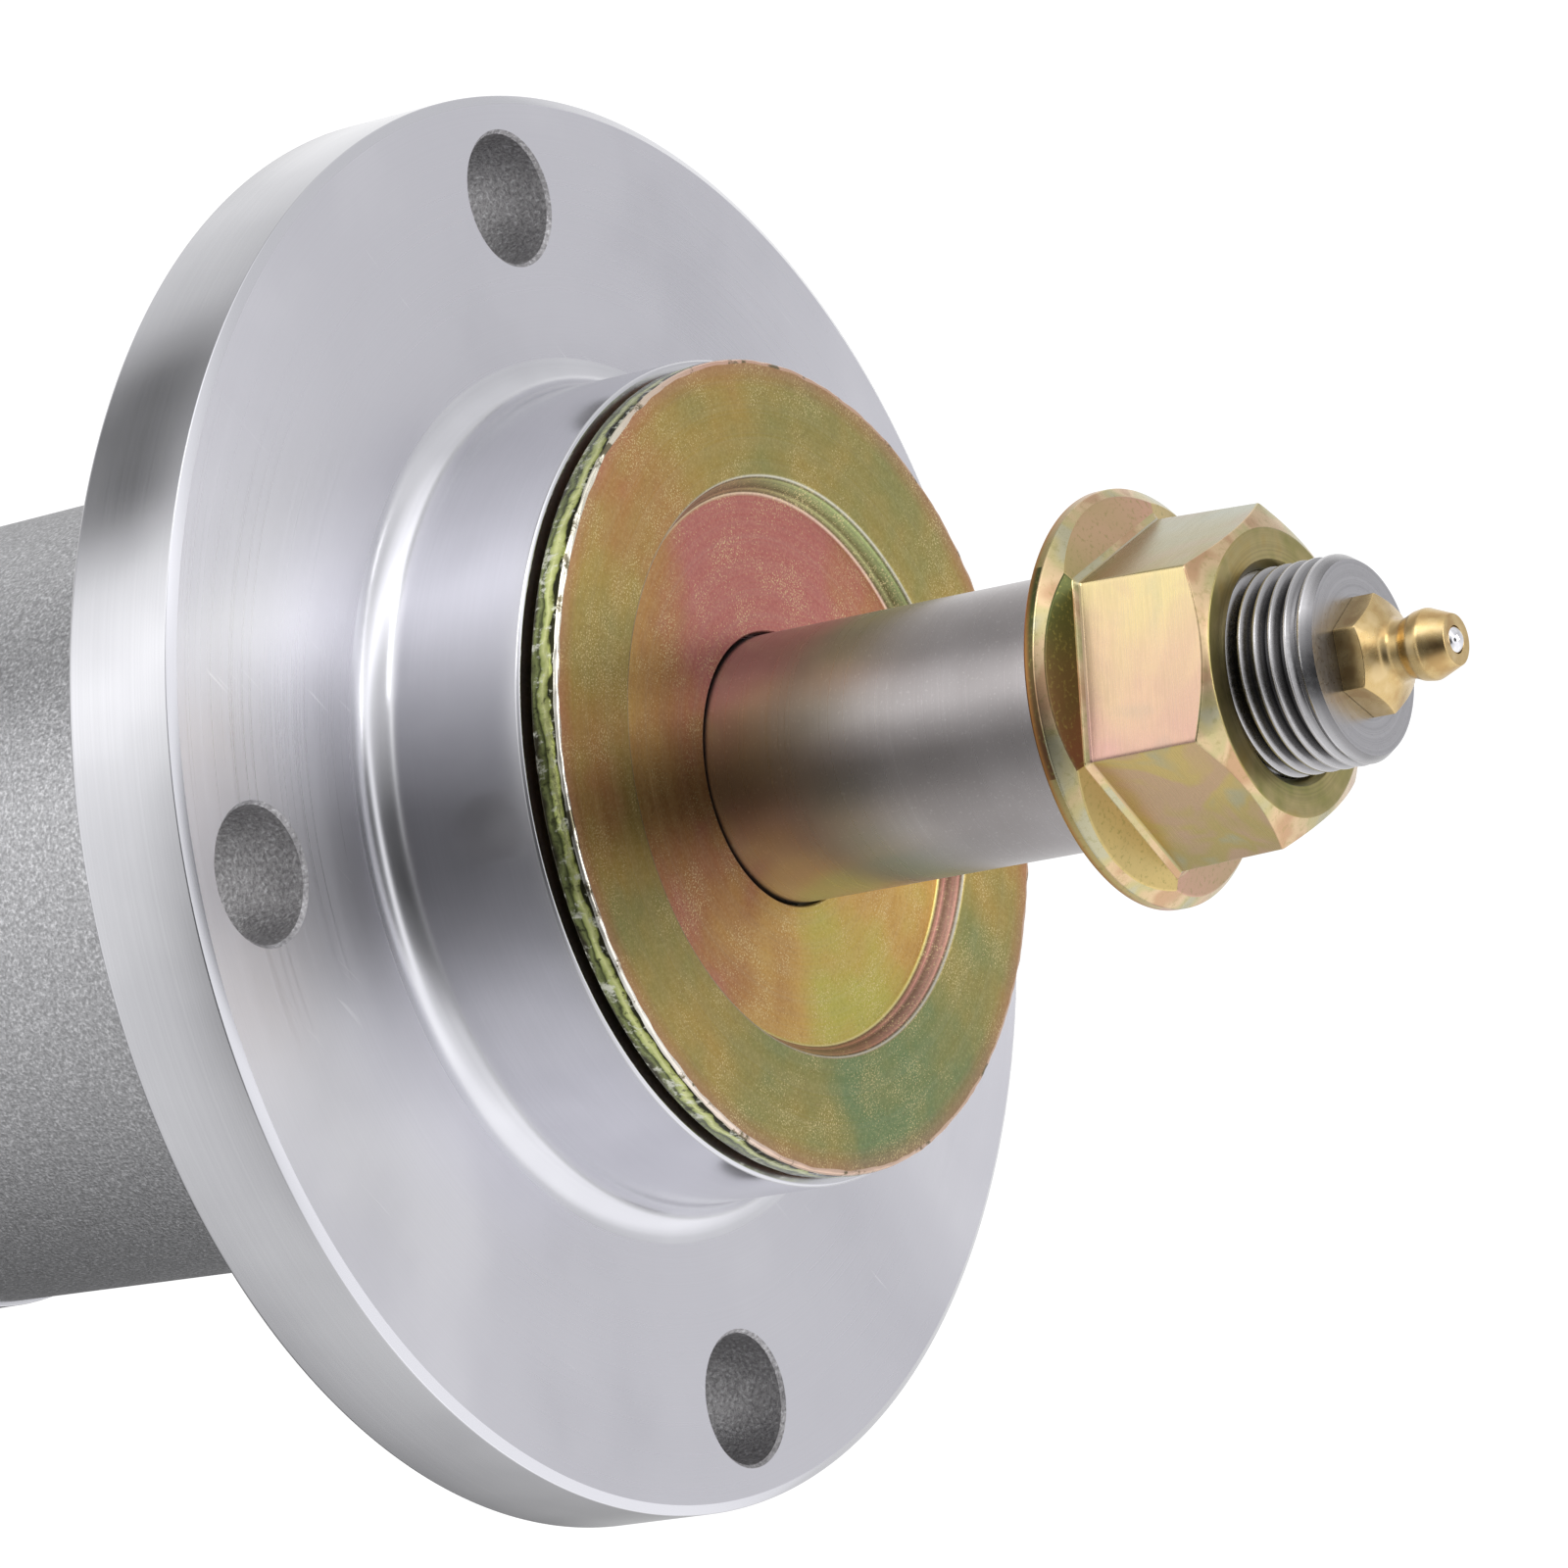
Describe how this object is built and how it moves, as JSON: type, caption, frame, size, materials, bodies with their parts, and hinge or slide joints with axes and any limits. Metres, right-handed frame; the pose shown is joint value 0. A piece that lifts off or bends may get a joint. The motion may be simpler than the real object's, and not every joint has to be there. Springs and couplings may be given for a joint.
{
  "type": "mower deck spindle",
  "caption": "Flanged spindle housing with a turning shaft on tapered roller bearings, seals, dust washers, flange nuts and a grease fitting.",
  "frame": {"origin": "centre of the flange's machined mounting face, on the shaft's axis", "axes": "+Z along the shaft towards the end with the grease fitting; the bolt holes lie at 45 degrees to X and Y"},
  "size_m": [0.136, 0.136, 0.2513],
  "materials": {
    "housing_cast": "machined flange, blasted barrel",
    "shaft_steel": "ground",
    "zinc_washer": "olive yellow zinc plating",
    "zinc_nut": "pale gold yellow zinc plating",
    "bearing_steel": "ground and polished",
    "cage_steel": "pressed sheet",
    "spacer_steel": "drawn tube",
    "seal_steel": "pressed sheet",
    "seal_rubber": "moulded, matt",
    "fitting_brass": "turned",
    "ball_steel": "polished",
    "spring_steel": "drawn wire"
  },
  "bodies": {
    "housing": {"spindle_housing": "housing_cast", "upper_bearing_cup": "bearing_steel", "upper_seal_case": "seal_steel", "upper_seal_lip": "seal_rubber", "upper_seal_spring": "spring_steel", "lower_bearing_cup": "bearing_steel", "lower_seal_case": "seal_steel", "lower_seal_lip": "seal_rubber", "lower_seal_spring": "spring_steel"},
    "rotor": {"shaft": "shaft_steel", "bearing_spacer": "spacer_steel", "fitting_body": "fitting_brass", "fitting_spring": "spring_steel", "upper_dust_washer": "zinc_washer", "upper_flange_nut": "zinc_nut", "upper_seal_sleeve": "bearing_steel", "upper_bearing_cone": "bearing_steel", "lower_dust_washer": "zinc_washer", "lower_flange_nut": "zinc_nut", "lower_seal_sleeve": "bearing_steel", "lower_bearing_cone": "bearing_steel"},
    "upper_roller_set": {"upper_bearing_cage": "cage_steel", "upper_bearing_rollers": "bearing_steel"},
    "lower_roller_set": {"lower_bearing_cage": "cage_steel", "lower_bearing_rollers": "bearing_steel"},
    "grease_valve": {"fitting_ball": "ball_steel"}
  },
  "joints": [
    {"name": "shaft_spin", "type": "hinge", "parent": "housing", "child": "rotor", "pos_m": [0, 0, 0], "axis": [0, 0, 1], "continuous": true},
    {"name": "upper_cage_spin", "type": "hinge", "parent": "housing", "child": "upper_roller_set", "pos_m": [0, 0, -0.00439], "axis": [0, 0, 1], "continuous": true},
    {"name": "lower_cage_spin", "type": "hinge", "parent": "housing", "child": "lower_roller_set", "pos_m": [0, 0, -0.07511], "axis": [0, 0, 1], "continuous": true},
    {"name": "valve_slide", "type": "slide", "parent": "rotor", "child": "grease_valve", "axis": [0, 0, -1], "range_m": [0, 0.001], "stiffness_N_per_m": 400, "springref_m": -0.0005, "deforming": ["fitting_spring"]}
  ],
  "couplings": [
    {"joint": "upper_cage_spin", "follows": "shaft_spin", "ratio": 0.42727},
    {"joint": "lower_cage_spin", "follows": "shaft_spin", "ratio": 0.42727}
  ]
}
